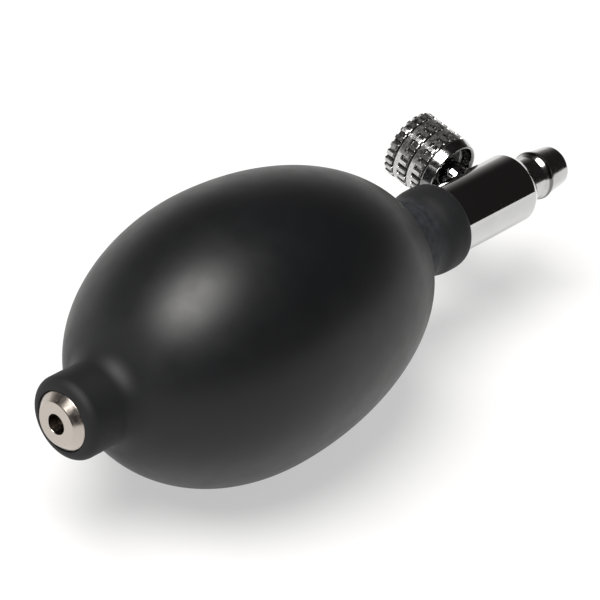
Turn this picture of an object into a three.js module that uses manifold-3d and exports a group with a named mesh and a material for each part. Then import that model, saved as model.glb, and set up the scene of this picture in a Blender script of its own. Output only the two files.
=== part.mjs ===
// Hand bulb with an inlet valve in one end and, in the other, a release valve with a thumbscrew
// and a hose nipple. Millimetres, +Z up. The bulb's long axis is X, from the inlet valve to the
// nipple, the thumbscrew points along +Y, and the bulb's belly rests on Z = 0.
// Stations along X are measured from the bulb's widest section, and those of the thumbscrew's
// pieces along Y from the valve's axis. The last lines place it all in the part's own frame.
import * as THREE from 'three';
import { mergeVertices } from 'three/addons/utils/BufferGeometryUtils.js';
import Module from 'manifold-3d';

const wasm = await Module();
wasm.setup();

// ---------------------------------------------------------------- driving dimensions

const bulb = {
  radius: 25.25, ovality: 0.044, frontReach: 33, rearReach: 42, wall: 2.6, endWall: 3,
  nippleRadius: 7.35, lipFace: -41, lipRounding: 1.9, mouthRadius: 5.4, boreRadius: 4.8,
  filletStart: -34, filletEnd: -30.2, blendStart: 38.2, blendPull: 0.36,
  waist: 43, waistRadius: 7.7, bead: 49, beadRadius: 8.1, beadRounding: 2.4, rim: 52.6,
  rimRadius: 6.6, tailBore: 5.6,
};
const plug = {
  face: -42.2, faceRadius: 3.86, edge: -40.8, radius: 5.26, seat: -38.5, end: -31, holeRadius: 1.8,
};
const ball = { radius: 2.1, lift: 0.9 };
const valve = {
  start: 50.5, chamfer: 71.8, end: 73.4, radius: 6.5, endRadius: 5.6, socket: 4.2, passage: 2.4,
};
const tail = { start: 37, flange: 49, radius: 4.6, barb: 5.3, barbs: 4, spigot: 4, spigotEnd: 55.5, bore: 3 };
const disc = { radius: 3, thickness: 0.8, lift: 0.7 };
const nipple = {
  spigot: 3.1, stem: 3.95, fillet: 77.9, ringAt: 78.7, ring: 4.6, ringEnd: 79.2, headStart: 79.5, head: 4.35,
  tip: 84.9, tipRadius: 3.85, tipRounding: 0.8, bore: 1.6,
};
const screw = { at: 65.4, radius: 1.5, pitch: 0.5, turns: 3 };
const knob = {
  lip: 8.4, lipRadius: 6.1, shoulder: 10.35, far: 19.25, radius: 6.65, cup: 5.5, face: 0.6,
  teeth: 24, rows: 3, rowPitch: 3.3, groove: 0.5, tooth: 1.8, slotDepth: 0.42,
};
const bush = {
  start: 4.8, end: 10.2, radius: 2.7, thread: 1.7, counterbore: 2.3, chamfer: 0.3,
  portRadius: 2.9, ledge: 3.6, bleedHole: 1,
};
const frictionWire = 0.28;
// Clearance between neighbouring pieces, and how far a cutter or a bar runs past what it meets.
const gap = 0.1;
const past = 0.6;
const centre = (plug.face + nipple.tip) / 2;
const bellyHeight = bulb.radius * (1 + bulb.ovality);

// ---------------------------------------------------------------- materials

const finish = (color, roughness, metalness) => () => (
  new THREE.MeshStandardMaterial({ color, roughness, metalness })
);
const blackRubber = finish(0x2c2b2d, 0.55, 0);
const chrome = finish(0xd9dadb, 0.12, 1);
const nickel = finish(0xc9c2b8, 0.28, 1);
const brass = finish(0xb08d4a, 0.35, 1);
const steel = finish(0xb5b7ba, 0.2, 1);
const sealRubber = finish(0x1d1d1f, 0.7, 0);
const nylon = finish(0xe6e2d6, 0.5, 0);
const fibre = finish(0x8a4a35, 0.8, 0);

// ---------------------------------------------------------------- solids

// A solid of revolution about X. The outline is a list of [station, radius] that starts and ends
// on the axis, or else is closed by returning to its first point.
function revolve(outline, segments = 32) {
  const points = outline.map(([station, radius]) => new THREE.Vector2(radius, station));
  const startsOnAxis = points[0].x === 0 && points.at(-1).x === 0;
  if (!startsOnAxis) points.push(points[0].clone());
  return facingOut(new THREE.LatheGeometry(points, segments).rotateZ(-Math.PI / 2));
}

// The same about Y, with the stations running along +Y.
function revolveAboutY(outline, segments = 32) {
  return revolve(outline, segments).rotateZ(Math.PI / 2);
}

// Merges the shared corners and turns the faces outward.
function facingOut(source) {
  source.deleteAttribute('normal');
  source.deleteAttribute('uv');
  const geometry = mergeVertices(source, 1e-4);
  const place = geometry.getAttribute('position');
  const corner = (i) => new THREE.Vector3().fromBufferAttribute(place, i);
  const faces = [];
  let volume = 0;
  for (let i = 0; i < geometry.index.count; i += 3) {
    const [a, b, c] = [0, 1, 2].map((k) => geometry.index.getX(i + k));
    if (a === b || b === c || c === a) continue;
    volume += corner(a).dot(corner(b).cross(corner(c)));
    faces.push([a, b, c]);
  }
  geometry.setIndex(faces.flatMap(([a, b, c]) => (volume > 0 ? [a, b, c] : [a, c, b])));
  geometry.computeVertexNormals();
  return geometry;
}

function toManifold(source) {
  const geometry = facingOut(source.clone());
  return new wasm.Manifold(new wasm.Mesh({
    numProp: 3,
    vertProperties: new Float32Array(geometry.getAttribute('position').array),
    triVerts: new Uint32Array(geometry.index.array),
  }));
}

function fromManifold(solid) {
  const mesh = solid.getMesh();
  const geometry = new THREE.BufferGeometry();
  geometry.setAttribute('position', new THREE.BufferAttribute(new Float32Array(mesh.vertProperties), 3));
  geometry.setIndex(new THREE.BufferAttribute(new Uint32Array(mesh.triVerts), 1));
  return facingOut(geometry);
}

function cut(source, tools) {
  return fromManifold(tools.reduce((solid, tool) => solid.subtract(toManifold(tool)), toManifold(source)));
}

function join(source, others) {
  return fromManifold(others.reduce((solid, other) => solid.add(toManifold(other)), toManifold(source)));
}

function box(width, depth, height, x, y, z) {
  return new THREE.BoxGeometry(width, depth, height).translate(x, y, z);
}

// A round pin with its middle at (x, y, z), lying along the X, Y or Z axis.
function rod(axis, radius, length, x, y, z, segments = 16) {
  const geometry = new THREE.CylinderGeometry(radius, radius, length, segments);
  if (axis === 'X') geometry.rotateZ(Math.PI / 2);
  if (axis === 'Z') geometry.rotateX(Math.PI / 2);
  return geometry.translate(x, y, z);
}

// A plain ring between two stations and two radii.
function ring(from, to, inner, outer) {
  return [[from, inner], [from, outer], [to, outer], [to, inner]];
}

// The [station, radius] points of a curve, with the first left out where it repeats the last one.
function along(curve, steps, skipFirst = false) {
  return curve.getPoints(steps).slice(skipFirst ? 1 : 0).map((point) => [point.x, point.y]);
}

const at = (station, radius) => new THREE.Vector2(station, radius);

// ---------------------------------------------------------------- the bulb

// Radius of an egg-shaped quarter, from its widest section to the given reach.
const eggRadius = (station, reach, radius) => radius * Math.sqrt(1 - (station / reach) ** 2);

// The egg's outline between two stations, evenly spaced in angle.
function eggArc(from, to, reach, radius, steps) {
  const start = Math.asin(from / reach);
  const end = Math.asin(to / reach);
  return Array.from({ length: steps + 1 }, (_, i) => {
    const angle = start + ((end - start) * i) / steps;
    return [reach * Math.sin(angle), radius * Math.cos(angle)];
  });
}

// The curve that carries the egg's rear into the neck.
function neckBlend(start, reach, radius, waist, waistRadius) {
  const startRadius = eggRadius(start, reach, radius);
  const slope = -((radius / reach) ** 2) * (start / startRadius);
  const run = (waist - start) * bulb.blendPull;
  return new THREE.CubicBezierCurve(at(start, startRadius), at(start + run, startRadius + slope * run),
    at(waist - run, waistRadius), at(waist, waistRadius));
}

function bulbOutside() {
  const b = bulb;
  const lipCentre = b.lipFace + b.lipRounding;
  const rounding = new THREE.EllipseCurve(lipCentre, b.nippleRadius - b.lipRounding, b.lipRounding,
    b.lipRounding, Math.PI, Math.PI / 2, true);
  const corner = -b.frontReach * Math.sqrt(1 - (b.nippleRadius / b.radius) ** 2);
  const fillet = new THREE.QuadraticBezierCurve(at(b.filletStart, b.nippleRadius), at(corner, b.nippleRadius),
    at(b.filletEnd, eggRadius(b.filletEnd, b.frontReach, b.radius)));
  const swellMiddle = (b.waist + b.bead) / 2;
  const swell = new THREE.CubicBezierCurve(at(b.waist, b.waistRadius), at(swellMiddle, b.waistRadius),
    at(swellMiddle, b.beadRadius), at(b.bead, b.beadRadius));
  const rimEdge = new THREE.CubicBezierCurve(at(b.rim - b.beadRounding, b.beadRadius),
    at(b.rim - b.beadRounding / 3, b.beadRadius), at(b.rim, b.beadRadius - b.beadRounding / 6),
    at(b.rim, b.beadRadius - b.beadRounding / 2.2));
  return [
    [b.lipFace, b.mouthRadius],
    ...along(rounding, 3),
    ...along(fillet, 3),
    ...eggArc(b.filletEnd, 0, b.frontReach, b.radius, 8).slice(1),
    ...eggArc(0, b.blendStart, b.rearReach, b.radius, 7).slice(1),
    ...along(neckBlend(b.blendStart, b.rearReach, b.radius, b.waist, b.waistRadius), 4, true),
    ...along(swell, 2, true),
    ...along(rimEdge, 3),
    [b.rim, b.rimRadius],
  ];
}

function bulbInside() {
  const b = bulb;
  const radius = b.radius - b.wall;
  const front = b.frontReach - b.endWall;
  const rear = b.rearReach - b.endWall;
  const frontStart = -front * Math.sqrt(1 - (b.boreRadius / radius) ** 2);
  const blend = neckBlend(b.blendStart - 2, rear, radius, b.waist - 3, b.tailBore);
  return [
    [b.lipFace, b.mouthRadius],
    [plug.seat + gap, b.mouthRadius],
    [plug.seat + gap, b.boreRadius],
    ...eggArc(frontStart, 0, front, radius, 6),
    ...eggArc(0, b.blendStart - 2, rear, radius, 5).slice(1),
    ...along(blend, 3, true),
    [tail.flange - gap, b.tailBore],
    [tail.flange - gap, b.rimRadius],
    [b.rim, b.rimRadius],
  ];
}

// The egg is a little taller than it is wide, fading out towards both necks.
function makeOval(geometry) {
  const place = geometry.getAttribute('position');
  for (let i = 0; i < place.count; i += 1) {
    const reach = place.getX(i) < 0 ? bulb.frontReach : bulb.rearReach;
    const fade = Math.max(0, 1 - (place.getX(i) / reach) ** 2);
    place.setY(i, place.getY(i) * (1 - bulb.ovality * fade));
    place.setZ(i, place.getZ(i) * (1 + bulb.ovality * fade));
  }
  geometry.computeVertexNormals();
  return geometry;
}

function rubberBulb() {
  const inside = bulbInside().reverse();
  return makeOval(revolve([...bulbOutside(), ...inside.slice(1, -1)], 40));
}

// ---------------------------------------------------------------- the inlet valve

const ballSeat = -37.6;
const ballAt = ballSeat + Math.sqrt(ball.radius ** 2 - plug.holeRadius ** 2) + gap;
const cageStart = ballAt + ball.radius + ball.lift + gap;
const cageThickness = 1;
const chamberRadius = 2.9;
const cageRadius = 3.3;
const cageWall = 0.9;
const ringWall = 0.7;
const lead = 0.6;

// Barbs along a stretch: each rises steeply at its start and slopes back down.
function barbs(from, to, root, crest, count) {
  const pitch = (to - from) / count;
  return Array.from({ length: count }, (_, i) => [
    [from + i * pitch, root],
    [from + (i + 0.2) * pitch, crest],
  ]).flat();
}

function inletPlug() {
  const root = 4.1;
  const crest = 4.65;
  return revolve([
    [plug.face, plug.holeRadius], [plug.face, plug.faceRadius],
    [plug.edge, plug.radius], [plug.seat, plug.radius],
    ...barbs(plug.seat, plug.end - lead, root, crest, 2),
    [plug.end, root], [plug.end, cageRadius], [cageStart - gap, cageRadius], [cageStart - gap, chamberRadius],
    [ballSeat, chamberRadius], [ballSeat, plug.holeRadius],
  ]);
}

function inletBall() {
  return facingOut(new THREE.SphereGeometry(ball.radius, 20, 14).translate(ballAt, 0, 0));
}

function inletCage() {
  const end = cageStart + cageThickness;
  const outer = cageRadius - gap;
  const inner = outer - cageWall;
  const barThickness = cageThickness * 0.7;
  const bar = box(barThickness, cageWall, 2 * inner + past, cageStart + barThickness / 2, 0, 0);
  return join(revolve(ring(cageStart, end, inner, outer), 24), [bar]);
}

function inletSnapRing() {
  const start = cageStart + cageThickness + gap;
  const end = plug.end - gap;
  const outer = cageRadius - gap;
  const split = box(end - start + past, 0.8, 2 * ringWall + past, (start + end) / 2, 0, outer);
  return cut(revolve(ring(start, end, outer - ringWall, outer), 24), [split]);
}

// ---------------------------------------------------------------- the release valve, along X

const flangeThickness = 0.9;
const washerStart = tail.flange + flangeThickness + gap / 2;
const screenSeat = tail.start + 1.3;
const screenRadius = 3.6;
const screenThickness = 0.4;
const seatRadius = 1.7;
const seatLip = 1.2;
const discStart = tail.spigotEnd + gap;
const spiderStart = discStart + disc.thickness + disc.lift + gap;
const spiderThickness = 1;
const spiderBar = 0.8;
const socketEnd = spiderStart + spiderThickness + gap;
const nippleSocket = 68.4;
const sealThickness = 0.5;
const spigotStart = nippleSocket + sealThickness + 2 * gap;

function neckTail() {
  return revolve([
    [tail.start, screenRadius], [tail.start, tail.radius],
    ...barbs(tail.start + lead, tail.flange - 1, tail.radius, tail.barb, tail.barbs),
    [tail.flange - 1, tail.radius], [tail.flange, tail.radius], [tail.flange, bulb.rimRadius - 2 * gap],
    [tail.flange + flangeThickness, bulb.rimRadius - 2 * gap], [tail.flange + flangeThickness, tail.spigot],
    [tail.spigotEnd, tail.spigot], [tail.spigotEnd, seatRadius], [tail.spigotEnd - seatLip, seatRadius],
    [tail.spigotEnd - seatLip, tail.bore], [screenSeat, tail.bore], [screenSeat, screenRadius],
  ]);
}

function bodyWasher() {
  return revolve(ring(washerStart, valve.start - gap / 2, tail.spigot + gap, valve.radius - gap), 24);
}

function dustScreen() {
  const middle = screenSeat - screenThickness / 2 - gap;
  const plate = rod('X', screenRadius - gap, screenThickness, middle, 0, 0, 24);
  const hole = { radius: 0.6, distance: 2 };
  const holes = Array.from({ length: 7 }, (_, i) => {
    const distance = i === 0 ? 0 : hole.distance;
    const angle = (i * Math.PI) / 3;
    return rod('X', hole.radius, screenThickness + past, middle,
      distance * Math.cos(angle), distance * Math.sin(angle), 8);
  });
  return cut(plate, holes);
}

function screenRing() {
  const end = screenSeat - screenThickness - 2 * gap;
  return revolve(ring(tail.start + gap, end, tail.bore - 2 * gap, screenRadius - gap), 24);
}

function checkDisc() {
  return facingOut(rod('X', disc.radius, disc.thickness, discStart + disc.thickness / 2, 0, 0, 24));
}

function checkSpider() {
  const outer = valve.socket - gap;
  const inner = outer - cageWall;
  const middle = spiderStart + spiderThickness / 2;
  const bars = [0, 1, 2].map((i) => box(spiderThickness - gap, spiderBar, 2 * inner + past, 0, 0, 0)
    .rotateX((i * Math.PI) / 3).translate(middle, 0, 0));
  return join(revolve(ring(spiderStart, spiderStart + spiderThickness, inner, outer), 24), bars);
}

// A turned cylinder with a long chamfer at the nipple's end and a side port for the bleed screw.
function valveBody() {
  const turned = revolve([
    [valve.start, valve.socket], [valve.start, valve.radius], [valve.chamfer, valve.radius],
    [valve.end, valve.endRadius], [valve.end, nipple.spigot + gap], [nippleSocket, nipple.spigot + gap],
    [nippleSocket, valve.passage], [socketEnd, valve.passage], [socketEnd, valve.socket],
  ], 40);
  const portDepth = valve.radius + past - bush.ledge;
  const port = rod('Y', bush.portRadius, portDepth, screw.at, bush.ledge + portDepth / 2, 0, 24);
  const bleedHole = rod('Y', bush.bleedHole, bush.ledge, screw.at, (bush.ledge + past) / 2, 0, 12);
  return cut(turned, [port, bleedHole]);
}

function nippleSeal() {
  return revolve(ring(nippleSocket + gap, spigotStart - gap, nipple.bore + 3 * gap, nipple.spigot), 24);
}

// The nipple: a stem, a fillet up to the rounded ring that grips the hose, a step down behind it,
// and a slightly tapered, rounded head.
function hoseNipple() {
  const n = nipple;
  const filletMiddle = (n.fillet + n.ringAt) / 2;
  const fillet = new THREE.CubicBezierCurve(at(n.fillet, n.stem), at(filletMiddle, n.stem),
    at(filletMiddle, n.ring), at(n.ringAt, n.ring));
  const nose = new THREE.EllipseCurve(n.tip - n.tipRounding, n.tipRadius - n.tipRounding, n.tipRounding,
    n.tipRounding, Math.PI / 2, 0, true);
  return revolve([
    [spigotStart, n.bore], [spigotStart, n.spigot], [valve.end + gap, n.spigot], [valve.end + gap, n.stem],
    ...along(fillet, 4),
    [n.ringEnd, n.ring], [n.headStart, n.head],
    ...along(nose, 4),
    [n.tip, n.bore],
  ]);
}

// ---------------------------------------------------------------- the bleed screw, along Y

const seatThickness = 0.8;
const seatBore = 0.8;
const seatStart = bush.ledge + gap;
const padStart = seatStart + seatThickness + gap;
const padThickness = 0.9;
const padBore = 0.75;
const travel = screw.pitch * screw.turns;
const padChamberEnd = padStart + padThickness + travel + gap;
const sealPocket = 8.9;
const vent = { radius: 0.32, back: 0.4 };
const cupFloor = bush.end + 0.8;
const spindleEnd = 17.5;
const spindleChamfer = 0.3;

const onScrewAxis = (geometry) => geometry.translate(screw.at, 0, 0);

function bleedSeat() {
  const profile = ring(seatStart, seatStart + seatThickness, seatBore, bush.radius - gap);
  return onScrewAxis(revolveAboutY(profile, 24));
}

function bleedPad() {
  const profile = ring(padStart, padStart + padThickness, padBore, bush.counterbore - gap);
  return onScrewAxis(revolveAboutY(profile, 24));
}

// The bush holds the screw's thread, a pocket for the friction ring and a cross hole that vents.
function bleedBush() {
  const turned = revolveAboutY([
    [bush.start, bush.counterbore], [bush.start, bush.radius], [bush.end - bush.chamfer, bush.radius],
    [bush.end, bush.radius - bush.chamfer], [bush.end, bush.counterbore], [sealPocket, bush.counterbore],
    [sealPocket, bush.thread], [padChamberEnd, bush.thread], [padChamberEnd, bush.counterbore],
  ], 24);
  const ventHole = rod('Z', vent.radius, 3 * bush.radius, 0, padChamberEnd - vent.back, 0, 8);
  return onScrewAxis(cut(turned, [ventHole]));
}

function frictionRing() {
  const middle = (screw.radius + bush.counterbore) / 2;
  const corners = 8;
  const height = (sealPocket + bush.end) / 2;
  const outline = Array.from({ length: corners }, (_, i) => {
    const angle = (2 * Math.PI * i) / corners;
    return [height + frictionWire * Math.cos(angle), middle + frictionWire * Math.sin(angle)];
  });
  return onScrewAxis(revolveAboutY(outline, 24));
}

function spindle() {
  const nose = padBore - 1.5 * gap;
  const noseStart = padStart + 2 * gap;
  const shoulder = padStart + padThickness + gap;
  return onScrewAxis(revolveAboutY([
    [noseStart, 0], [noseStart, nose], [shoulder, nose], [shoulder, screw.radius],
    [spindleEnd - spindleChamfer, screw.radius], [spindleEnd, screw.radius - spindleChamfer], [spindleEnd, 0],
  ], 24));
}

// The knob: a cup towards the valve, a smooth tapered shoulder, and rows of square teeth. Each row
// starts with a turned groove and ends in a plain band.
function thumbKnob() {
  const k = knob;
  const bore = screw.radius + gap;
  const rows = Array.from({ length: k.rows }, (_, i) => {
    const start = k.shoulder + i * k.rowPitch;
    const floor = k.radius - k.slotDepth;
    const teethStart = start + k.groove;
    const teethEnd = teethStart + k.tooth;
    return [[start, k.radius], [start, floor], [teethStart, floor], [teethStart, k.radius],
      [teethEnd, k.radius], ...(i < k.rows - 1 ? [[teethEnd + gap, k.radius]] : [])];
  }).flat();
  const geometry = revolveAboutY([
    [cupFloor, bore], [cupFloor, k.cup - k.face], [k.lip, k.cup], [k.lip, k.lipRadius],
    ...rows, [k.far, k.radius - k.face], [k.far, 0], [spindleEnd + 3 * gap, 0], [spindleEnd + 3 * gap, bore],
  ], 2 * k.teeth);
  return onScrewAxis(cutSlots(geometry));
}

// Every second lathe segment along a row of teeth is pressed in, to the depth of the slots.
function cutSlots(geometry) {
  const place = geometry.getAttribute('position');
  const near = gap / 2;
  for (let i = 0; i < place.count; i += 1) {
    const [x, y, z] = [place.getX(i), place.getY(i), place.getZ(i)];
    const radius = Math.hypot(x, z);
    const segment = Math.round((Math.atan2(z, x) * knob.teeth) / Math.PI);
    const inRow = (y - knob.shoulder) % knob.rowPitch;
    const onTeeth = inRow > knob.groove - near && inRow < knob.groove + knob.tooth + near;
    if (radius > knob.radius - near && onTeeth && segment % 2 !== 0) {
      place.setX(i, (x * (radius - knob.slotDepth)) / radius);
      place.setZ(i, (z * (radius - knob.slotDepth)) / radius);
    }
  }
  geometry.computeVertexNormals();
  return geometry;
}

// ---------------------------------------------------------------- assembly

const pieces = [
  ['bulb', rubberBulb(), blackRubber],
  ['inlet_plug', inletPlug(), nickel],
  ['inlet_ball', inletBall(), steel],
  ['inlet_cage', inletCage(), brass],
  ['inlet_snap_ring', inletSnapRing(), steel],
  ['neck_tail', neckTail(), nickel],
  ['dust_screen', dustScreen(), steel],
  ['screen_ring', screenRing(), brass],
  ['body_washer', bodyWasher(), fibre],
  ['check_disc', checkDisc(), sealRubber],
  ['check_spider', checkSpider(), brass],
  ['valve_body', valveBody(), chrome],
  ['nipple_seal', nippleSeal(), fibre],
  ['hose_nipple', hoseNipple(), chrome],
  ['bleed_seat', bleedSeat(), nylon],
  ['bleed_pad', bleedPad(), sealRubber],
  ['bleed_bush', bleedBush(), chrome],
  ['friction_ring', frictionRing(), sealRubber],
  ['spindle', spindle(), steel],
  ['knob', thumbKnob(), chrome],
];

const model = new THREE.Group();
model.position.set(-centre, 0, bellyHeight);
for (const [name, geometry, material] of pieces) {
  const mesh = new THREE.Mesh(geometry, material());
  mesh.name = name;
  model.add(mesh);
}

export default model;
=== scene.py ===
"""Looks for a rubber hand bulb with an inlet valve, a release valve and a hose nipple.

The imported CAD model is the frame. Stations and radii below are in millimetres in the row frame:
stations run along X for the bulb and its valves and along Y for the thumbscrew's pieces.
"""

import math

import bmesh
import bpy
from mathutils import Matrix, Vector


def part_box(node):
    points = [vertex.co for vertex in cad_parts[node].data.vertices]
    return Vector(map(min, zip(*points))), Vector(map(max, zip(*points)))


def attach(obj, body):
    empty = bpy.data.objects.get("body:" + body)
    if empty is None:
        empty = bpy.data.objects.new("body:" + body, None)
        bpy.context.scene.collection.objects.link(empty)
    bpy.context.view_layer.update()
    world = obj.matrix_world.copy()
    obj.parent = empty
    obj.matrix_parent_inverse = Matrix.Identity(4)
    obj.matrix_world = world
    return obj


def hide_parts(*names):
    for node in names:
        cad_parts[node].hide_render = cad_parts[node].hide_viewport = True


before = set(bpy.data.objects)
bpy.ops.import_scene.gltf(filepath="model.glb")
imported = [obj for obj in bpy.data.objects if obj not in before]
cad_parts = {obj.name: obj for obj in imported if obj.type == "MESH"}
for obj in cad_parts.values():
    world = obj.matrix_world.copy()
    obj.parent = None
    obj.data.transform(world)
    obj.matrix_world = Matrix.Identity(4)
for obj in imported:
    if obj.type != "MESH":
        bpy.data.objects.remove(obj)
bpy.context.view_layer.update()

MM = 0.001


# ---------------------------------------------------------------- camera

CAMERA_AIM = Vector((-3.65, 1.2, 23.86)) * MM
CAMERA_DISTANCE = 576 * MM
CAMERA_AZIMUTH = math.radians(-56.4)
CAMERA_ELEVATION = math.radians(38.9)
CAMERA_ROLL = math.radians(15.8)
CAMERA_LENS = 200.7


def make_camera():
    """A long lens that looks down on the inlet end from the left, with its horizon tilted."""
    flat = math.cos(CAMERA_ELEVATION)
    back = Vector((
        math.sin(CAMERA_AZIMUTH) * flat,
        -math.cos(CAMERA_AZIMUTH) * flat,
        math.sin(CAMERA_ELEVATION),
    ))
    level = back.to_track_quat("Z", "Y").to_matrix().to_4x4()
    camera = bpy.data.objects.new("camera", bpy.data.cameras.new("camera"))
    camera.data.lens = CAMERA_LENS
    camera.data.clip_start = 0.01
    camera.data.clip_end = 20
    camera.matrix_world = (
        Matrix.Translation(CAMERA_AIM + back * CAMERA_DISTANCE) @ level @ Matrix.Rotation(CAMERA_ROLL, 4, "Z")
    )
    bpy.context.scene.collection.objects.link(camera)
    bpy.context.scene.camera = camera


make_camera()


# ---------------------------------------------------------------- places and driving dimensions


def span(node, axis="X"):
    """A node's first and last station along X or Y, and its largest radius."""
    low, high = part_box(node)
    start, end = (low.x, high.x) if axis == "X" else (low.y, high.y)
    return start / MM, end / MM, (high.z - low.z) / 2 / MM


# The bulb's own dimensions in millimetres, with its stations measured from its widest section.
RIM_FROM_BELLY = 52.6
FRONT_REACH = 33
REAR_REACH = 42
NIPPLE_RADIUS = 7.35
LIP_ROUNDING = 1.9
MOUTH_RADIUS = 5.32
MOUTH_CHAMFER = 0.12
BORE_RADIUS = 4.8
BLEND_START = 38.2
WAIST = 43
WAIST_RADIUS = 7.8
GROOVE = 44.8
GROOVE_RADIUS = 7.5
BEAD = 49
BEAD_RADIUS = 8.1
BEAD_ROUNDING = 2.4
WALL = 2.6
END_WALL = 3
RIM_RADIUS = 6.56
TAIL_BORE = 5.6
FLASH = 41
FLASH_REACH = 1.4
FLASH_HEIGHT = 0.3
FLASH_WAVES = (3, 7, 13, 22)

# The air hole in the plug, and how far the hose nipple's ring lies from its tip.
HOLE_RADIUS = 1.8
RING_FROM_TIP = 5.9

# The thumbscrew's rows of slots, which start at a station along Y.
SHOULDER_END = 10.35
ROWS = 3
ROW_PITCH = 3.3
TEETH = 24
TOOTH_LENGTH = 1.8
GROOVE_WIDTH = 0.5
SLOT_DEPTH = 0.62

# Places in metres: the bulb's axis and widest section, the screw's axis and the hose nipple's tip.
bulb_low, bulb_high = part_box("bulb")
knob_low, knob_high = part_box("knob")
AXIS_Z = (bulb_low.z + bulb_high.z) / 2
BELLY_X = bulb_high.x - RIM_FROM_BELLY * MM
SCREW_X = (knob_low.x + knob_high.x) / 2
NIPPLE_TIP_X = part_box("hose_nipple")[1].x


# ---------------------------------------------------------------- outlines


def curve(points, steps):
    """Points of a Bezier curve, worked out from its control points by repeated blending."""
    found = []
    for i in range(steps + 1):
        t = i / steps
        row = [Vector(p) for p in points]
        while len(row) > 1:
            row = [a.lerp(b, t) for a, b in zip(row, row[1:])]
        found.append(tuple(row[0]))
    return found


def arc(centre, radius, start, end, steps):
    """Points of a circular arc between two angles in degrees."""
    angles = [math.radians(start + (end - start) * i / steps) for i in range(steps + 1)]
    return [(centre[0] + radius * math.cos(a), centre[1] + radius * math.sin(a)) for a in angles]


def rounded(corners, steps=5, closed=True):
    """Corners as (station, radius) or (station, radius, rounding), with each edge rounded over.

    A rounding takes up at most a set share of each side. A point is added just beside it, so that
    the flats shade as flats.
    """
    most_of_side = 0.45
    beside = 0.04
    beside_share = 0.04
    found = []
    for i, corner in enumerate(corners):
        point = Vector(corner[:2])
        reach = corner[2] if len(corner) > 2 else 0
        on_end = not closed and i in (0, len(corners) - 1)
        if on_end or not reach:
            found.append(tuple(point))
            continue
        to_last = Vector(corners[i - 1][:2]) - point
        to_next = Vector(corners[(i + 1) % len(corners)][:2]) - point
        before = point + to_last * min(most_of_side, reach / to_last.length)
        after = point + to_next * min(most_of_side, reach / to_next.length)
        found.append(tuple(before + to_last.normalized() * min(beside, to_last.length * beside_share)))
        found.extend(curve([before, point, after], steps))
        found.append(tuple(after + to_next.normalized() * min(beside, to_next.length * beside_share)))
    return found


def swept(start, start_radius, end, end_radius, steps):
    """Points after the first of an S-shaped curve that leaves and arrives level."""
    middle = (start + end) / 2
    return curve([
        (start, start_radius),
        (middle, start_radius),
        (middle, end_radius),
        (end, end_radius),
    ], steps)[1:]


def filled(outline, step, above):
    """Adds points along an outline's long stretches outside a radius, so that a warp can shape them."""
    found = []
    for point, following in zip(outline, outline[1:] + outline[-1:]):
        found.append(point)
        length = math.dist(point, following)
        if length > step and min(point[1], following[1]) > above:
            count = math.ceil(length / step)
            for i in range(1, count):
                share = i / count
                found.append(tuple(a + (b - a) * share for a, b in zip(point, following)))
    return found


def tube(start, end, inner, outer, rounding):
    """A plain ring's outline with rounded edges."""
    return rounded([
        (start, inner, rounding),
        (start, outer, rounding),
        (end, outer, rounding),
        (end, inner, rounding),
    ])


def barbs(start, end, root, crest, count):
    """Corners of barbs that rise steeply and slope back down."""
    pitch = (end - start) / count
    rise = 0.2 * pitch
    found = []
    for i in range(count):
        found.append((start + i * pitch, root, 0.08))
        found.append((start + i * pitch + rise, crest, 0.12))
    return found


# ---------------------------------------------------------------- meshes

SHARP_ANGLE = math.radians(38)


def turned(name, outline, axis="X", segments=192, warp=None):
    """Sweeps an outline about X through the bulb's middle, or about Y through the screw's.

    An outline that starts and ends on the axis makes a solid, and any other closes on itself.
    warp may change each point, given as (station, across, up).
    """
    mesh = bmesh.new()
    rings = []
    for station, radius in outline:
        if radius < 1e-6:
            rings.append([mesh.verts.new(place(axis, station, 0, 0))])
            continue
        ring = []
        for k in range(segments):
            angle = 2 * math.pi * k / segments
            point = (station, radius * math.cos(angle), radius * math.sin(angle))
            ring.append(mesh.verts.new(place(axis, *(warp(*point) if warp else point))))
        rings.append(ring)
    closes = len(rings[0]) > 1
    for ring, following in zip(rings, rings[1:] + rings[:1] if closes else rings[1:]):
        for k in range(segments):
            corners = [
                ring[k % len(ring)],
                ring[(k + 1) % len(ring)],
                following[(k + 1) % len(following)],
                following[k % len(following)],
            ]
            mesh.faces.new(list(dict.fromkeys(corners)))
    bmesh.ops.recalc_face_normals(mesh, faces=mesh.faces)
    return made(name, mesh)


def place(axis, station, across, up):
    """A point in metres in the row frame, from millimetres about one of the two axes."""
    if axis == "X":
        return (station * MM, across * MM, AXIS_Z + up * MM)
    return (SCREW_X + across * MM, station * MM, AXIS_Z + up * MM)


def smoothed(data):
    """Shades a mesh as smooth, with its sharp corners kept sharp."""
    data.shade_smooth()
    data.set_sharp_from_angle(angle=SHARP_ANGLE)
    return data


def made(name, mesh):
    """A smooth-shaded object of a bmesh, which it frees."""
    data = bpy.data.meshes.new(name)
    mesh.to_mesh(data)
    mesh.free()
    piece = bpy.data.objects.new(name, smoothed(data))
    bpy.context.scene.collection.objects.link(piece)
    return piece


def rod(axis, radius, length, middle, segments):
    """A round cutter sized in millimetres, along Y or Z, with its middle at a point in metres."""
    mesh = bmesh.new()
    turn = Matrix.Rotation(math.pi / 2, 4, "X") if axis == "Y" else Matrix()
    bmesh.ops.create_cone(
        mesh,
        cap_ends=True,
        segments=segments,
        radius1=radius * MM,
        radius2=radius * MM,
        depth=length * MM,
        matrix=Matrix.Translation(middle) @ turn,
    )
    return made("cutter", mesh)


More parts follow.
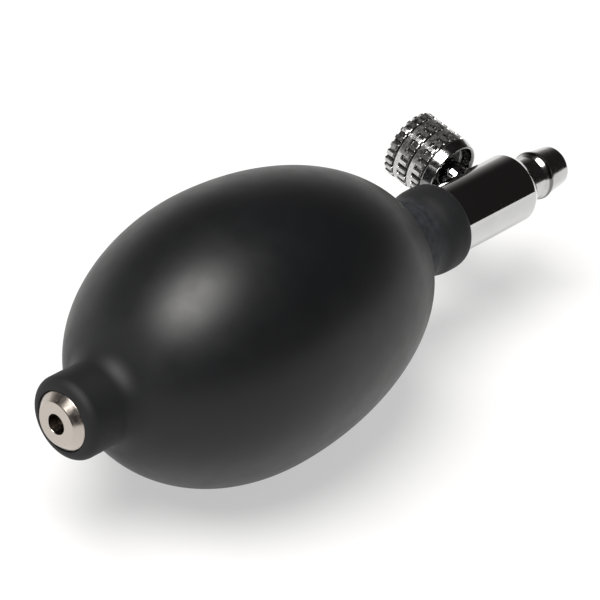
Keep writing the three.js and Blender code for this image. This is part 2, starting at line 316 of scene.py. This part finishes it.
def drilled(piece, cutters):
    """Cuts each cutter out of a piece and removes the cutters."""
    for cutter in cutters:
        step = piece.modifiers.new("hole", "BOOLEAN")
        step.operation = "DIFFERENCE"
        step.solver = "EXACT"
        step.object = cutter
    graph = bpy.context.evaluated_depsgraph_get()
    data = bpy.data.meshes.new_from_object(piece.evaluated_get(graph))
    piece.modifiers.clear()
    piece.data = smoothed(data)
    for cutter in cutters:
        bpy.data.objects.remove(cutter)
    return piece


# ---------------------------------------------------------------- materials


class Nodes:
    """A node tree, and the kinds of node that both the materials and the room are made of."""

    def __init__(self, tree):
        self.tree = tree

    def node(self, kind, inputs=None, **settings):
        """A node with its settings, and with values or other nodes' outputs on its inputs."""
        made_node = self.tree.nodes.new(kind)
        for key, value in settings.items():
            setattr(made_node, key, value)
        for key, value in (inputs or {}).items():
            if isinstance(value, bpy.types.NodeSocket):
                self.tree.links.new(value, made_node.inputs[key])
            else:
                made_node.inputs[key].default_value = value
        return made_node

    def math(self, operation, first, second=0.0):
        """One sum on two values."""
        return self.node("ShaderNodeMath", {0: first, 1: second}, operation=operation).outputs["Value"]

    def spread(self, value, low, high, from_low=0.3, from_high=0.7):
        """Maps a value from one range onto another, and never past its ends."""
        return self.node("ShaderNodeMapRange", {
            "Value": value, "From Min": from_low, "From Max": from_high, "To Min": low, "To Max": high,
        }).outputs["Result"]

    def along(self, vector, axis):
        """One of a vector's X, Y and Z."""
        return self.node("ShaderNodeSeparateXYZ", {"Vector": vector}).outputs[axis]


class Shading(Nodes):
    """A Principled material, and the kinds of node that the materials are made of."""

    def __init__(self, name, roughness, metallic=0.0):
        self.material = bpy.data.materials.new(name)
        self.material.use_nodes = True
        super().__init__(self.material.node_tree)
        self.shader = self.tree.nodes["Principled BSDF"]
        self.shader.inputs["Roughness"].default_value = roughness
        self.shader.inputs["Metallic"].default_value = metallic
        self.normal = None

    def feed(self, name, value):
        """Puts another node's output on one of the shader's inputs."""
        self.tree.links.new(value, self.shader.inputs[name])

    def millimetres(self, origin=(0, 0, 0)):
        """The surface point in millimetres, measured from an origin in metres."""
        scale = 1 / MM
        return self.node("ShaderNodeMapping", {
            "Vector": self.node("ShaderNodeTexCoord").outputs["Object"],
            "Location": tuple(-c * scale for c in origin),
            "Scale": (scale,) * 3,
        }).outputs["Vector"]

    def from_axis(self, point, across):
        """A point's distance from an axis: across holds 0 for the axis and 1 for the ways across it."""
        flat = self.node("ShaderNodeVectorMath", {0: point, 1: across}, operation="MULTIPLY")
        length = self.node("ShaderNodeVectorMath", {0: flat.outputs["Vector"]}, operation="LENGTH")
        return length.outputs["Value"]

    def noise(self, size, detail=3.0, stretch=(1, 1, 1), seed=0.0):
        """Noise whose lumps are about that many millimetres across."""
        point = self.node("ShaderNodeMapping", {
            "Vector": self.millimetres(),
            "Location": (seed,) * 3,
            "Scale": tuple(s / size for s in stretch),
        }).outputs["Vector"]
        lumps = self.node("ShaderNodeTexNoise", {"Vector": point, "Scale": 1.0, "Detail": detail})
        return lumps.outputs["Fac"]

    def tint(self, value, first, second, start=0.3, end=0.7):
        """Sets the base colour, from the first to the second as the value rises."""
        ramp = self.node("ShaderNodeValToRGB", {"Fac": value})
        for stop, position, colour in zip(ramp.color_ramp.elements, (start, end), (first, second)):
            stop.position = position
            stop.color = (*colour, 1)
        self.feed("Base Color", ramp.outputs["Color"])

    def polish(self, value, low, high):
        """Sets the roughness, from low to high as the value rises."""
        self.feed("Roughness", self.spread(value, low, high))

    def relief(self, value, depth):
        """Adds a bump of a depth in millimetres over the ones before it."""
        inputs = {"Height": value, "Distance": depth * MM, "Strength": 1.0}
        if self.normal is not None:
            inputs["Normal"] = self.normal
        self.normal = self.node("ShaderNodeBump", inputs).outputs["Normal"]
        self.feed("Normal", self.normal)


def moulded_rubber():
    """Satin black rubber with a fine moulded grain, dull on its necks, with a grey bloom on the rear one."""
    egg_end = BLEND_START + 1.2
    bloom_start = egg_end + 1.2
    bead_start = GROOVE + 1.6
    dull_from = 27
    dull_by = 34
    look = Shading("black_rubber", 0.42)
    look.shader.inputs["Specular IOR Level"].default_value = 0.32
    station = look.along(look.millimetres((BELLY_X, 0, 0)), "X")
    past_egg = look.spread(station, 0, 1, egg_end, bloom_start)
    before_bead = look.spread(station, 1, 0.1, GROOVE, bead_start)
    patches = look.spread(look.noise(1.4, 5, seed=11), 0.35, 1)
    bloom = look.math("MULTIPLY", look.math("MULTIPLY", past_egg, before_bead), patches)
    mottle = look.spread(look.noise(14, 4), 0, 0.1)
    look.tint(look.math("ADD", bloom, mottle), (0.0036, 0.0039, 0.0044), (0.02, 0.0215, 0.0255), 0, 1)
    dullness = look.spread(look.math("ABSOLUTE", station), 0, 0.22, dull_from, dull_by)
    sheen = look.spread(look.noise(3.5, 5, seed=7), 0.39, 0.44)
    look.feed("Roughness", look.math("ADD", sheen, dullness))
    look.relief(look.noise(0.35, 3, seed=3), 0.006)
    look.relief(look.math("MULTIPLY", past_egg, look.noise(0.9, 4, seed=12)), 0.035)
    return look.material


def chrome_plate():
    """Bright chrome with faint wipe marks."""
    look = Shading("chrome", 0.05, 1)
    look.tint(look.noise(6, 3), (0.53, 0.53, 0.53), (0.58, 0.58, 0.585))
    look.polish(look.noise(1.6, 5, stretch=(0.35, 1, 1)), 0.035, 0.075)
    look.relief(look.noise(1.8, 2, seed=5), 0.0012)
    return look.material


def turned_chrome():
    """Chrome over fine turning marks, less bright than the polished body, with a band of painted shade on its
    ring.
    """
    look = Shading("turned_chrome", 0.15, 1)
    marks = look.node("ShaderNodeTexWave", {
        "Vector": look.millimetres(), "Scale": 1.1, "Distortion": 1.5, "Detail": 3.0, "Detail Scale": 1.5,
    }, wave_type="BANDS", bands_direction="X").outputs["Fac"]
    from_tip = look.along(look.millimetres((NIPPLE_TIP_X, 0, 0)), "X")
    from_ring = look.math("ABSOLUTE", look.math("ADD", from_tip, RING_FROM_TIP))
    # Painted shade: the base colour darkens in a band on the ring, standing in for a darker reflection.
    ring_shade = look.spread(from_ring, 0.85, 0, 0.45, 0.7)
    mottle = look.spread(look.noise(2.5, 4), 0, 0.25)
    look.tint(look.math("ADD", ring_shade, mottle), (0.58, 0.58, 0.58), (0.18, 0.177, 0.172), 0, 1)
    look.polish(look.noise(1.2, 4, stretch=(2.5, 1, 1), seed=6), 0.11, 0.2)
    look.relief(marks, 0.0025)
    return look.material


def rolled_chrome():
    """Worn chrome over rolled knurling, smoother on its far face, with painted shade darkening its slots and
    its cup.
    """
    _, far, top = span("knob", "Y")
    look = Shading("rolled_chrome", 0.25, 1)
    point = look.millimetres((SCREW_X, 0, AXIS_Z))
    radius = look.from_axis(point, (1, 0, 1))
    station = look.along(point, "Y")
    past_shoulder = look.spread(station, 0, 1, SHOULDER_END - 0.1, SHOULDER_END)
    before_cup_floor = look.spread(station, 1, 0, SHOULDER_END + 1, SHOULDER_END + 2)
    before_far_face = look.spread(station, 1, 0.2, far - 0.4, far - 0.2)
    # Painted shade: the colour darkens at the bottom of the slots and inside the cup, where shade falls.
    in_slots = look.math("MULTIPLY", look.spread(radius, 0.6, 0, top - 0.5, top - 0.1), past_shoulder)
    in_cup = look.math("MULTIPLY", look.spread(radius, 0.55, 0, top - 1.1, top - 0.8), before_cup_floor)
    recess_shade = look.math("MAXIMUM", in_slots, in_cup)
    mottle = look.math("MULTIPLY", look.spread(look.noise(0.6, 5), 0, 0.4), before_far_face)
    look.tint(look.math("ADD", recess_shade, mottle), (0.6, 0.6, 0.6), (0.05, 0.048, 0.045), 0, 1)
    look.polish(look.noise(0.7, 4, seed=2), 0.09, 0.17)
    rolled = look.math("MULTIPLY", past_shoulder, before_far_face)
    worn = look.math("MULTIPLY", look.spread(look.noise(0.5, 4, seed=8), 0, 0.15), rolled)
    look.feed("Metallic", look.math("SUBTRACT", 1, worn))
    look.relief(look.math("MULTIPLY", look.noise(0.45, 4, seed=9), before_far_face), 0.012)
    return look.material


def turned_nickel():
    """Satin nickel with the fine circular marks of turning, and painted shade inside its hole."""
    look = Shading("nickel", 0.24, 1)
    point = look.millimetres((0, 0, AXIS_Z))
    marks = look.node("ShaderNodeTexWave", {
        "Vector": point, "Scale": 1.6, "Distortion": 0.8, "Detail": 4.0, "Detail Scale": 2.0,
    }, wave_type="RINGS", rings_direction="X").outputs["Fac"]
    outside_hole = look.spread(look.from_axis(point, (0, 1, 1)), 0, 1, HOLE_RADIUS - 0.1, HOLE_RADIUS + 0.05)
    # The colour follows the turning marks, and goes dark inside the hole as painted shade.
    marks_and_hole_shade = look.math("MULTIPLY", look.spread(marks, 0.85, 1, 0.1, 0.9), outside_hole)
    look.tint(marks_and_hole_shade, (0.06, 0.045, 0.035), (0.5, 0.452, 0.408), 0, 1)
    look.polish(look.noise(0.7, 4), 0.18, 0.28)
    look.relief(marks, 0.004)
    look.relief(look.noise(0.3, 3, seed=4), 0.0006)
    return look.material


def plain_metal(name, dark, light, roughness):
    """A plain machined metal with slight mottling and fine scratches."""
    look = Shading(name, roughness, 1)
    look.tint(look.noise(1.5, 4), dark, light)
    look.polish(look.noise(0.6, 4, seed=6), roughness * 0.8, roughness * 1.3)
    look.relief(look.noise(0.25, 3, stretch=(0.3, 1, 1), seed=8), 0.003)
    return look.material


def plain_soft(name, dark, light, roughness, grain):
    """A plain non-metal with slight mottling and a grain of that size in millimetres."""
    look = Shading(name, roughness)
    look.tint(look.noise(grain * 5, 4), dark, light)
    look.polish(look.noise(grain * 3, 3, seed=6), roughness * 0.85, min(1, roughness * 1.15))
    look.relief(look.noise(grain, 4, seed=8), grain * 0.04)
    return look.material


MATERIALS = {
    "black_rubber": moulded_rubber(),
    "chrome": chrome_plate(),
    "turned_chrome": turned_chrome(),
    "rolled_chrome": rolled_chrome(),
    "nickel": turned_nickel(),
    "brass": plain_metal("brass", (0.5, 0.34, 0.13), (0.66, 0.48, 0.22), 0.3),
    "steel": plain_metal("steel", (0.5, 0.5, 0.51), (0.62, 0.62, 0.63), 0.16),
    "seal_rubber": plain_soft("seal_rubber", (0.012, 0.012, 0.013), (0.03, 0.03, 0.031), 0.6, 0.3),
    "nylon": plain_soft("nylon", (0.68, 0.65, 0.57), (0.8, 0.77, 0.7), 0.45, 0.5),
    "fibre": plain_soft("fibre", (0.22, 0.055, 0.03), (0.36, 0.1, 0.05), 0.75, 0.2),
}


# ---------------------------------------------------------------- the bulb


def egg(start, end, reach, radius, steps):
    """Points of an egg-shaped quarter between two stations from its widest section."""
    first = math.asin(start / reach)
    last = math.asin(end / reach)
    angles = [first + (last - first) * i / steps for i in range(steps + 1)]
    return [(reach * math.sin(a), radius * math.cos(a)) for a in angles]


def neck_blend(start, reach, radius, waist, waist_radius, steps):
    """The curve that leaves the egg's rear along its own slope and runs level into the neck."""
    start_radius = radius * math.sqrt(1 - (start / reach) ** 2)
    slope = -((radius / reach) ** 2) * start / start_radius
    pull = 0.36
    run = (waist - start) * pull
    return curve([
        (start, start_radius),
        (start + run, start_radius + slope * run),
        (waist - run, waist_radius),
        (waist, waist_radius),
    ], steps)


def bulb_outside(lip, radius):
    """The outline from the front lip over the nipple, egg, waist, groove and bead to the rear rim."""
    fillet_start = -34
    fillet_end = -30.2
    fillet_corner = -FRONT_REACH * math.sqrt(1 - (NIPPLE_RADIUS / radius) ** 2)
    fillet_end_radius = radius * math.sqrt(1 - (fillet_end / FRONT_REACH) ** 2)
    return [
        (lip, MOUTH_RADIUS + MOUTH_CHAMFER),
        *arc((lip + LIP_ROUNDING, NIPPLE_RADIUS - LIP_ROUNDING), LIP_ROUNDING, 180, 90, 16),
        *curve([
            (fillet_start, NIPPLE_RADIUS),
            (fillet_corner, NIPPLE_RADIUS),
            (fillet_end, fillet_end_radius),
        ], 16),
        *egg(fillet_end, 0, FRONT_REACH, radius, 44)[1:],
        *egg(0, BLEND_START, REAR_REACH, radius, 44)[1:],
        *neck_blend(BLEND_START, REAR_REACH, radius, WAIST, WAIST_RADIUS, 20)[1:],
        *swept(WAIST, WAIST_RADIUS, GROOVE, GROOVE_RADIUS, 10),
        *swept(GROOVE, GROOVE_RADIUS, BEAD, BEAD_RADIUS, 14),
        *curve([
            (RIM_FROM_BELLY - BEAD_ROUNDING, BEAD_RADIUS),
            (RIM_FROM_BELLY - BEAD_ROUNDING / 3, BEAD_RADIUS),
            (RIM_FROM_BELLY, BEAD_RADIUS - BEAD_ROUNDING / 6),
            (RIM_FROM_BELLY, BEAD_RADIUS - BEAD_ROUNDING / 2.2),
        ], 16),
        (RIM_FROM_BELLY, RIM_RADIUS + MOUTH_CHAMFER),
        (RIM_FROM_BELLY - MOUTH_CHAMFER, RIM_RADIUS),
    ]


def bulb_inside(lip, radius):
    """The outline of the hollow, from the plug's mouth to the recess for the tail's flange."""
    plug_seat = -38.4
    flange = 48.9
    blend_start = BLEND_START - 2
    blend_end = WAIST - 3
    inner = radius - WALL
    front = FRONT_REACH - END_WALL
    rear = REAR_REACH - END_WALL
    front_start = -front * math.sqrt(1 - (BORE_RADIUS / inner) ** 2)
    return [
        (lip + MOUTH_CHAMFER, MOUTH_RADIUS),
        (plug_seat, MOUTH_RADIUS),
        (plug_seat, BORE_RADIUS),
        *egg(front_start, 0, front, inner, 20),
        *egg(0, blend_start, rear, inner, 16)[1:],
        *neck_blend(blend_start, rear, inner, blend_end, TAIL_BORE, 12)[1:],
        (flange, TAIL_BORE),
        (flange, RIM_RADIUS),
    ]


def bulb():
    """The hollow rubber moulding: a nipple, the egg, a waist and a beaded neck."""
    half_width = (bulb_high.y - bulb_low.y) / 2 / MM
    half_height = (bulb_high.z - bulb_low.z) / 2 / MM
    radius = (half_width + half_height) / 2
    ovality = (half_height - half_width) / (half_height + half_width)
    belly = BELLY_X / MM
    lip = bulb_low.x / MM - belly
    neck_surface = TAIL_BORE + 1

    def moulded(station, across, up):
        """Gives the egg its oval section, and the neck's root its uneven trimmed flash."""
        reach = FRONT_REACH if station < belly else REAR_REACH
        share = ovality * max(0, 1 - ((station - belly) / reach) ** 2)
        distance = math.hypot(across, up)
        on_flash = max(0, 1 - abs(station - belly - FLASH) / FLASH_REACH) if distance > neck_surface else 0
        angle = math.atan2(up, across)
        uneven = sum(math.sin(angle * waves + waves ** 2) for waves in FLASH_WAVES) / len(FLASH_WAVES)
        swollen = 1 + FLASH_HEIGHT * on_flash * uneven / distance
        return station, across * (1 - share) * swollen, up * (1 + share) * swollen

    from_belly = bulb_outside(lip, radius) + bulb_inside(lip, radius)[::-1]
    outline = [(belly + station, distance) for station, distance in from_belly]
    return turned("bulb", outline, segments=384, warp=moulded)


# ---------------------------------------------------------------- plain rings


def plain_ring(node, inner, rounding, axis="X"):
    """A ring that fills its node's box, with a given bore."""
    start, end, radius = span(node, axis)
    return turned(node, tube(start, end, inner, radius, rounding), axis, 96)


# ---------------------------------------------------------------- the inlet valve


def inlet_plug():
    """The turned plug: a chamfered head with the air hole, and a barbed sleeve that holds the ball."""
    face, end, radius = span("inlet_plug")
    face_radius = 3.86
    edge = face + 1.4
    seat = face + 3.7
    ball_seat = face + 4.6
    chamber = 2.9
    mouth = 3.3
    cage_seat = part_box("inlet_cage")[0].x / MM - 0.05
    root = 4.1
    crest = 4.65
    return turned("inlet_plug", rounded([
        (face, HOLE_RADIUS, 0.14),
        (face, face_radius, 0.1),
        (edge, radius, 0.16),
        (seat, radius, 0.1),
        (seat + 0.05, root, 0.05),
        *barbs(seat + 0.1, end - 0.6, root, crest, 2),
        (end, root, 0.1),
        (end, mouth, 0.08),
        (cage_seat, mouth, 0.05),
        (cage_seat, chamber, 0.05),
        (ball_seat, chamber, 0.1),
        (ball_seat, HOLE_RADIUS, 0.08),
    ]), segments=256)


def inlet_ball():
    """The inlet's bearing ball, as a half circle swept about the bulb's axis."""
    start, end, _ = span("inlet_ball")
    half_circle = arc(((start + end) / 2, 0), (end - start) / 2, 180, 0, 32)
    half_circle[0] = (start, 0)
    half_circle[-1] = (end, 0)
    return turned("inlet_ball", half_circle, segments=64)


# ---------------------------------------------------------------- the release valve, along X


def neck_tail():
    """The barbed tail that the neck grips, with a flange, a spigot and the check valve's seat."""
    start, end, _ = span("neck_tail")
    flange = start + 12
    flange_end = flange + 0.9
    flange_radius = 6.4
    root = 4.6
    crest = 5.3
    spigot = 4
    bore = 3
    seat = 1.7
    seat_start = end - 1.2
    screen = 3.6
    screen_seat = start + 1.3
    return turned("neck_tail", rounded([
        (start, screen, 0.08),
        (start, root, 0.15),
        *barbs(start + 0.8, flange - 1, root, crest, 4),
        (flange - 1, root, 0.1),
        (flange, root, 0.1),
        (flange, flange_radius, 0.12),
        (flange_end, flange_radius, 0.12),
        (flange_end, spigot, 0.08),
        (end, spigot, 0.12),
        (end, seat, 0.1),
        (seat_start, seat, 0.08),
        (seat_start, bore, 0.08),
        (screen_seat, bore, 0.08),
        (screen_seat, screen, 0.05),
    ]), segments=128)


def screen_ring():
    """The ring that holds the dust screen in the tail's mouth."""
    return plain_ring("screen_ring", 2.8, 0.08)


def body_washer():
    """The washer between the tail's flange and the valve body."""
    return plain_ring("body_washer", 4.1, 0.1)


def nipple_seal():
    """The seal under the hose nipple's spigot."""
    return plain_ring("nipple_seal", 1.9, 0.08)


def check_disc():
    """The soft disc that lets air out to the hose and not back."""
    start, end, radius = span("check_disc")
    return turned("check_disc", rounded([
        (start, 0),
        (start, radius, 0.18),
        (end, radius, 0.18),
        (end, 0),
    ], closed=False), segments=96)


def valve_body():
    """The turned chrome cylinder, with a long chamfer and the bleed screw's port in its side."""
    start, end, radius = span("valve_body")
    chamfer = end - 1.6
    end_radius = 5.6
    socket = 4.2
    passage = 2.4
    spigot = 3.2
    socket_end = start + 9.2
    nipple_socket = end - 5.6
    port_radius = 2.9
    bleed_radius = 1
    ledge = 3.6
    past = 0.5
    body = turned("valve_body", rounded([
        (start, socket, 0.1),
        (start, radius, 0.2),
        (chamfer, radius, 0.14),
        (end, end_radius, 0.14),
        (end, spigot, 0.08),
        (nipple_socket, spigot, 0.05),
        (nipple_socket, passage, 0.08),
        (socket_end, passage, 0.08),
        (socket_end, socket, 0.05),
    ], steps=8), segments=256)
    port = rod("Y", port_radius, radius, (SCREW_X, (ledge + radius / 2) * MM, AXIS_Z), 96)
    bleed = rod("Y", bleed_radius, ledge, (SCREW_X, (ledge / 2 + past) * MM, AXIS_Z), 48)
    return drilled(body, [port, bleed])


def hose_nipple():
    """The stem, the sloping ring that grips a hose, and the slightly tapered, rounded head."""
    start, tip, ring = span("hose_nipple")
    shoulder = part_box("valve_body")[1].x / MM + 0.1
    slope_start = tip - 7
    ring_start = tip - RING_FROM_TIP - 0.25
    ring_end = tip - RING_FROM_TIP + 0.25
    head_start = ring_end + 0.45
    stem = 3.95
    head = 4.35
    tip_radius = 3.85
    bore = 1.6
    spigot = 3.1
    rounding = 0.8
    return turned("hose_nipple", [
        (start, bore + 0.1),
        *rounded([(start, 0), (start, spigot, 0.15), (shoulder, spigot)], closed=False)[1:],
        *rounded([
            (shoulder, spigot),
            (shoulder, stem, 0.1),
            (slope_start, stem, 0.2),
            (ring_start, ring, 0.3),
            (ring_end, ring, 0.22),
            (ring_end + 0.15, head - 0.15, 0.08),
            (head_start, head, 0.15),
            (tip - rounding, tip_radius),
        ], closed=False)[1:-1],
        *arc((tip - rounding, tip_radius - rounding), rounding, 87, 0, 14),
        *rounded([(tip, tip_radius), (tip, bore, 0.25), (start, bore)], closed=False)[1:],
    ], segments=192)


# ---------------------------------------------------------------- the bleed screw, along Y


def bleed_bush():
    """The chrome bush in the valve's side: a bell-shaped collar, a vent and the friction ring's pocket."""
    start, end, radius = span("bleed_bush", "Y")
    counterbore = 2.3
    thread = 1.7
    pocket = end - 1.3
    chamber_end = start + 2.4
    vent_radius = 0.32
    collar = span("valve_body")[2] + 0.1
    bell = collar + 1.7
    undercut = radius - 0.38
    bush = turned("bleed_bush", rounded([
        (start, counterbore, 0.05),
        (start, radius, 0.1),
        (collar, radius, 0.05),
        (collar + 0.1, undercut, 0.1),
        (bell, radius, 0.9),
        (end, radius, 0.4),
        (end, counterbore, 0.12),
        (pocket, counterbore, 0.05),
        (pocket, thread, 0.08),
        (chamber_end, thread, 0.08),
        (chamber_end, counterbore, 0.05),
    ]), "Y", 128)
    vent = rod("Z", vent_radius, 3 * radius, (SCREW_X, (chamber_end - 0.4) * MM, AXIS_Z), 32)
    return drilled(bush, [vent])


def bleed_seat():
    """The ring at the bottom of the side port, which the pad closes."""
    return plain_ring("bleed_seat", 0.8, 0.08, "Y")


def bleed_pad():
    """The rubber pad on the screw's nose."""
    return plain_ring("bleed_pad", 0.75, 0.1, "Y")


def friction_ring():
    """The small rubber ring that keeps the thumbscrew where it is set."""
    start, end, outer = span("friction_ring", "Y")
    section = (end - start) / 2
    circle = arc(((start + end) / 2, outer - section), section, 0, 360, 16)[:-1]
    return turned("friction_ring", circle, "Y", 96)


def spindle():
    """The steel screw: a nose that carries the pad, an M3 thread and a plain end in the knob."""
    start, end, radius = span("spindle", "Y")
    nose = 0.6
    chamfer = 0.3
    shoulder = start + 0.8
    thread_start = shoulder + chamfer
    thread_end = start + 6.5
    pitch = 0.5
    depth = 0.28
    fade = 0.6
    step = 0.05
    threaded = [(thread_start + step + step * i, radius) for i in range(int((thread_end - shoulder) / step))]

    def thread(station, across, up):
        """Cuts the thread into the shank, and fades it out towards both of its ends."""
        distance = math.hypot(across, up)
        if distance < radius - 0.01 or not thread_start < station < thread_end:
            return station, across, up
        turn = (station / pitch - math.atan2(up, across) / (2 * math.pi)) % 1
        fullness = min(1, (station - shoulder) / fade, (thread_end - station) / fade)
        share = 1 - depth * fullness * abs(2 * turn - 1) / distance
        return station, across * share, up * share

    return turned("spindle", [
        (start, 0),
        (start, nose - 0.1),
        (start + 0.1, nose),
        (shoulder, nose),
        (shoulder, radius - chamfer),
        (thread_start, radius),
        *threaded,
        (thread_end + 0.4, radius),
        (end - chamfer, radius),
        (end, radius - chamfer),
        (end, 0),
    ], "Y", segments=96, warp=thread)


def knob():
    """The thumbscrew's cup: a smooth shoulder, then rows of slots, each row with a plain band beyond it."""
    lip, far, radius = span("knob", "Y")
    lip_radius = 6.1
    cup = 5.5
    outside_cup = cup + 0.35
    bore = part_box("spindle")[1].z / MM - AXIS_Z / MM + 0.1
    bore_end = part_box("spindle")[1].y / MM + 0.3
    cup_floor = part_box("bleed_bush")[1].y / MM + 0.8
    dish = far - 0.25
    rows = [SHOULDER_END + i * ROW_PITCH for i in range(ROWS)]
    fade = 0.15
    tooth_share = 0.42
    wall_share = 0.16

    def slot_share(turn):
        """0 on a tooth and 1 in the slot beside it, with sloping walls."""
        return max(0, min(1, (abs(2 * (turn % 1) - 1) - tooth_share) / wall_share))

    def row_share(station):
        """1 along a row of slots, fading out into the plain band beyond it. The last row has no band."""
        if station > rows[-1] + GROOVE_WIDTH:
            return 1
        found = 0
        for start in rows:
            end = start + GROOVE_WIDTH + TOOTH_LENGTH
            found = max(found, min(1, (station - start) / fade, (end - station) / fade))
        return found

    def slots(station, across, up):
        """Cuts the slots into the knob's outside."""
        distance = math.hypot(across, up)
        if distance < outside_cup:
            return station, across, up
        turn = math.atan2(up, across) * TEETH / (2 * math.pi)
        share = 1 - SLOT_DEPTH * slot_share(turn) * row_share(station) / distance
        return station, across * share, up * share

    side = 0.06
    floor = radius - SLOT_DEPTH
    grooves = []
    for start in rows:
        grooves.extend([
            (start, radius - 0.02, 0.1),
            (start + side, floor, 0.1),
            (start + GROOVE_WIDTH - side, floor, 0.1),
            (start + GROOVE_WIDTH, radius, 0.42),
        ])
    corners = rounded([
        (bore_end, 0),
        (bore_end, bore, 0.05),
        (cup_floor, bore, 0.05),
        (cup_floor, cup - 0.4, 0.5),
        (lip + 0.3, cup, 0.2),
        (lip, cup + 0.25, 0.15),
        (lip, lip_radius, 0.2),
        *grooves,
        (far, radius, 0.35),
        (far, radius - 1.2, 0.2),
        (dish, radius - 1.6, 0.2),
        (dish, 0),
    ], closed=False)
    outline = filled(corners, step=0.12, above=outside_cup)
    return turned("knob", outline, "Y", segments=24 * TEETH, warp=slots)


# ---------------------------------------------------------------- assembly

# Each new piece: what makes it, its node and body, its slot, and its finish where that isn't the slot's.
PIECES = [
    (bulb, "bulb", "housing", "black_rubber", None),
    (inlet_plug, "inlet_plug", "housing", "nickel", None),
    (inlet_ball, "inlet_ball", "ball", "steel", None),
    (neck_tail, "neck_tail", "housing", "nickel", None),
    (screen_ring, "screen_ring", "housing", "brass", None),
    (body_washer, "body_washer", "housing", "fibre", None),
    (check_disc, "check_disc", "disc", "seal_rubber", None),
    (valve_body, "valve_body", "housing", "chrome", None),
    (nipple_seal, "nipple_seal", "housing", "fibre", None),
    (hose_nipple, "hose_nipple", "housing", "chrome", "turned_chrome"),
    (bleed_seat, "bleed_seat", "housing", "nylon", None),
    (bleed_pad, "bleed_pad", "pad", "seal_rubber", None),
    (bleed_bush, "bleed_bush", "housing", "chrome", None),
    (friction_ring, "friction_ring", "housing", "seal_rubber", None),
    (spindle, "spindle", "thumbscrew", "steel", None),
    (knob, "knob", "thumbscrew", "chrome", "rolled_chrome"),
]

# The CAD nodes that stay, with their slots.
KEPT_NODES = {
    "inlet_cage": "brass",
    "inlet_snap_ring": "steel",
    "dust_screen": "steel",
    "check_spider": "brass",
}
KEPT_BEVEL = 0.06 * MM

for make, node, body, slot, finish in PIECES:
    piece = make()
    piece.name = "fine_" + node
    piece.data.materials.append(MATERIALS[finish or slot])
    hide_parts(node)
    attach(piece, body)

for node, slot in KEPT_NODES.items():
    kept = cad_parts[node]
    kept.data.materials.clear()
    kept.data.materials.append(MATERIALS[slot])
    edges = kept.modifiers.new("edges", "BEVEL")
    edges.width = KEPT_BEVEL
    edges.segments = 2
    edges.limit_method = "ANGLE"


# ---------------------------------------------------------------- studio

FLOOR_RADIUS = 1.6
FLOOR_FLAT = 1.2
FLOOR_LIFT = 0.28
FLOOR_GLOW = 0.5
LIGHT_FROM = Vector((-0.43, 0.07, 0.9))
LIGHT_STRENGTH = 5.4
LIGHT_SPREAD = math.radians(36)


def pale_floor():
    """A round pale floor in metres whose edge curls up towards -Y and stays flat elsewhere."""
    mesh = bmesh.new()
    segments = 96
    steps = 12
    distances = [0.05, 0.2, 0.5, 0.9, FLOOR_FLAT]
    distances += [FLOOR_FLAT + (FLOOR_RADIUS - FLOOR_FLAT) * i / steps for i in range(1, steps + 1)]
    middle = mesh.verts.new((0, 0, 0))
    last = None
    for distance in distances:
        rise = max(0, (distance - FLOOR_FLAT) / (FLOOR_RADIUS - FLOOR_FLAT))
        height = FLOOR_LIFT * rise ** 2
        ring = []
        for k in range(segments):
            x = math.cos(2 * math.pi * k / segments)
            y = math.sin(2 * math.pi * k / segments)
            ring.append(mesh.verts.new((distance * x, distance * y, height * min(0, y) ** 2)))
        for k in range(segments):
            after = (k + 1) % segments
            if last is None:
                mesh.faces.new([middle, ring[k], ring[after]])
            else:
                mesh.faces.new([last[k], ring[k], ring[after], last[after]])
        last = ring
    floor = made("floor", mesh)
    look = Shading("pale_floor", 0.6)
    look.tint(look.noise(60, 3), (0.32, 0.32, 0.32), (0.34, 0.34, 0.34))
    look.polish(look.noise(20, 3), 0.5, 0.7)
    look.relief(look.noise(0.8, 3), 0.01)
    look.shader.inputs["Emission Color"].default_value = (1, 1, 1, 1)
    look.shader.inputs["Emission Strength"].default_value = FLOOR_GLOW
    floor.data.materials.append(look.material)


def soft_light():
    """One broad soft light from high on the left."""
    sun = bpy.data.objects.new("soft_light", bpy.data.lights.new("soft_light", "SUN"))
    sun.data.energy = LIGHT_STRENGTH
    sun.data.color = (1, 0.985, 0.965)
    sun.data.angle = LIGHT_SPREAD
    sun.matrix_world = LIGHT_FROM.to_track_quat("Z", "Y").to_matrix().to_4x4()
    bpy.context.scene.collection.objects.link(sun)


def room():
    """A dark room for reflections, with a pale wall far behind, a soft fill, and a pale backdrop to see."""
    world = bpy.data.worlds.new("room")
    world.use_nodes = True
    bpy.context.scene.world = world
    look = Nodes(world.node_tree)

    def background(colour):
        """One plain colour all round."""
        return look.node("ShaderNodeBackground", {"Color": (*colour, 1)}).outputs["Background"]

    def mixed(share, first, second):
        """Goes from the first to the second as the share rises."""
        return look.node("ShaderNodeMixShader", {0: share, 1: first, 2: second}).outputs["Shader"]

    ray = look.node("ShaderNodeLightPath").outputs
    direction = look.node("ShaderNodeTexCoord").outputs["Generated"]
    near_horizon = look.math("POWER", look.spread(look.along(direction, "Z"), 0, 1, 0.6, 0), 2.5)
    behind = look.spread(look.along(direction, "Y"), 0, 1, 0.1, 0.6)
    wall = look.math("MULTIPLY", near_horizon, behind)
    reflected = mixed(wall, background((0.018, 0.0155, 0.0155)), background((0.62, 0.6, 0.58)))
    filled_room = mixed(ray["Is Diffuse Ray"], reflected, background((0.25, 0.25, 0.25)))
    seen = mixed(ray["Is Camera Ray"], filled_room, background((0.93, 0.93, 0.93)))
    world_output = world.node_tree.nodes["World Output"]
    world.node_tree.links.new(seen, world_output.inputs["Surface"])


pale_floor()
soft_light()
room()
bpy.context.scene.view_settings.view_transform = "Standard"
